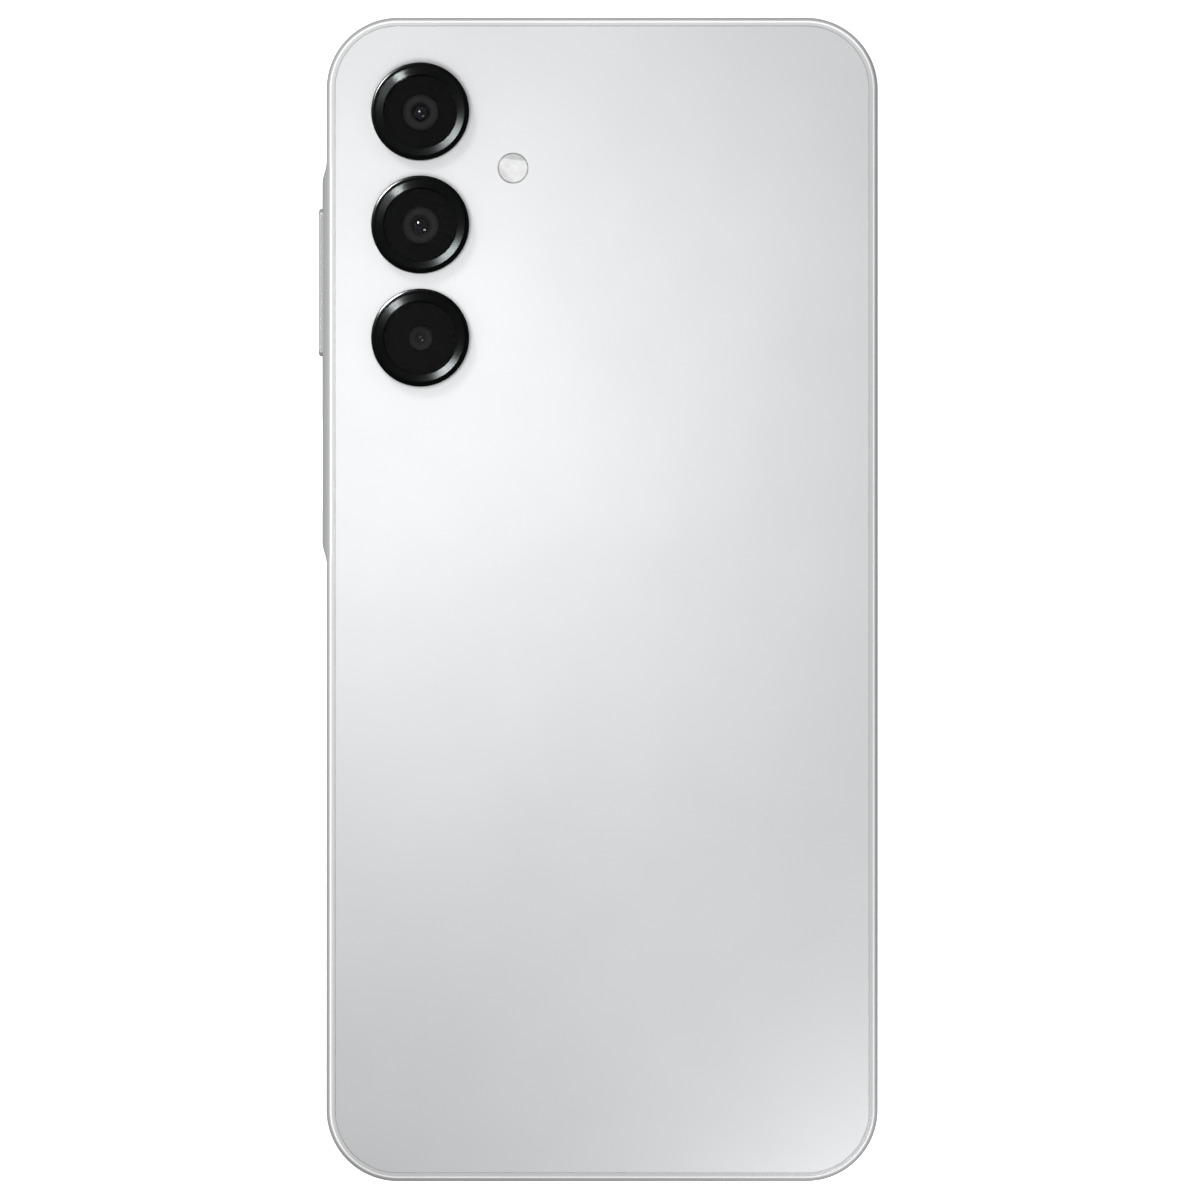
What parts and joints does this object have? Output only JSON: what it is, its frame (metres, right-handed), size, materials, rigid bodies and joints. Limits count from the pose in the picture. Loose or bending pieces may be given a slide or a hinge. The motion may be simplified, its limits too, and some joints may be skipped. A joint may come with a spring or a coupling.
{
  "type": "smartphone",
  "caption": "Slab smartphone with a flat silver back, a column of round raised camera rings, a flash window, side keys on a low island, card tray and a charging port.",
  "frame": {"origin": "middle of the outer face of the screen glass", "axes": "+Y towards the phone's top edge, +Z out of the rear cover, +X to the right when the back is looked at with the top edge up"},
  "size_m": [0.0791, 0.1644, 0.0095],
  "materials": {
    "frame_silver": "glossy metallic paint under clear lacquer",
    "cover_silver": "glossy pearl silver",
    "key_silver": "glossy metallic paint",
    "ring_black": "black anodised, turned",
    "window_glass": "black-backed, polished",
    "screen_glass": "black-backed, polished",
    "display_stack": "black laminate",
    "black_plastic": "fine moulded texture",
    "grey_plastic": "moulded",
    "diffuser_plastic": "frosted, translucent",
    "led_phosphor": "yellow phosphor",
    "light_alloy": "die-cast, bare",
    "steel": "plain",
    "copper_film": "etched copper under film",
    "circuit_board": "green solder mask",
    "flex_circuit": "amber film over copper",
    "battery_wrap": "foil pouch in a matt black wrap",
    "black_rubber": "matt"
  },
  "bodies": {
    "phone": {"antenna_cable": "black_plastic", "battery": "battery_wrap", "battery_lead": "flex_circuit", "camera_ring_macro": "ring_black", "camera_ring_main": "ring_black", "camera_ring_ultrawide": "ring_black", "camera_window_macro": "window_glass", "camera_window_main": "window_glass", "camera_window_ultrawide": "window_glass", "chassis_plate": "light_alloy", "cover_gasket": "black_rubber", "display_flex": "flex_circuit", "display_gasket": "black_rubber", "display_glass": "screen_glass", "display_panel": "display_stack", "earpiece_mesh": "ring_black", "earpiece_speaker": "grey_plastic", "flash_led": "led_phosphor", "flash_window": "diffuser_plastic", "front_camera": "grey_plastic", "key_bracket": "steel", "key_flex": "flex_circuit", "lower_inner_cover": "black_plastic", "macro_camera": "grey_plastic", "main_board": "circuit_board", "main_camera": "grey_plastic", "main_flex": "flex_circuit", "motor_base": "steel", "motor_case": "steel", "nfc_antenna": "copper_film", "power_dome": "steel", "processor_shield": "steel", "radio_shield": "steel", "rear_cover": "cover_silver", "screw_1": "steel", "screw_2": "steel", "screw_3": "steel", "screw_4": "steel", "screw_5": "steel", "screw_6": "steel", "side_frame": "frame_silver", "sim_socket": "steel", "speaker_case": "black_plastic", "speaker_driver": "steel", "speaker_lid": "grey_plastic", "sub_board": "circuit_board", "ultrawide_camera": "grey_plastic", "upper_inner_cover": "black_plastic", "usb_port_shell": "steel", "usb_port_tongue": "black_plastic", "volume_down_dome": "steel", "volume_up_dome": "steel"},
    "volume_key": {"volume_key": "key_silver"},
    "power_key": {"power_key": "key_silver", "fingerprint_sensor": "black_plastic"},
    "sim_tray": {"sim_tray": "frame_silver", "sim_tray_seal": "black_rubber"},
    "motor_rotor": {"motor_rotor": "steel"},
    "focus_lens": {"main_camera_lens": "black_plastic"},
    "speaker_diaphragm": {"speaker_diaphragm": "grey_plastic"}
  },
  "joints": [
    {"name": "volume_key_rock", "type": "hinge", "parent": "phone", "child": "volume_key", "pos_m": [-0.0382, 0.04495, 0.0043], "axis": [0, 0, 1], "range_deg": [-1.5, 1.5], "stiffness_Nm_per_rad": 0.55, "deforming": ["volume_up_dome", "volume_down_dome"]},
    {"name": "power_key_press", "type": "slide", "parent": "phone", "child": "power_key", "axis": [1, 0, 0], "range_m": [0, 0.0002], "stiffness_N_per_m": 2000, "springref_m": -0.0005, "deforming": ["power_dome"]},
    {"name": "sim_tray_slide", "type": "slide", "parent": "phone", "child": "sim_tray", "axis": [1, 0, 0], "range_m": [0, 0.03]},
    {"name": "motor_spin", "type": "hinge", "parent": "phone", "child": "motor_rotor", "pos_m": [0.029, -0.0685, 0.0037], "axis": [0, 0, 1], "continuous": true},
    {"name": "focus_slide", "type": "slide", "parent": "phone", "child": "focus_lens", "axis": [0, 0, 1], "range_m": [0, 0.0003], "stiffness_N_per_m": 60, "springref_m": -0.0001},
    {"name": "diaphragm_stroke", "type": "slide", "parent": "phone", "child": "speaker_diaphragm", "axis": [0, 0, 1], "range_m": [-0.0003, 0.0003], "stiffness_N_per_m": 400}
  ]
}
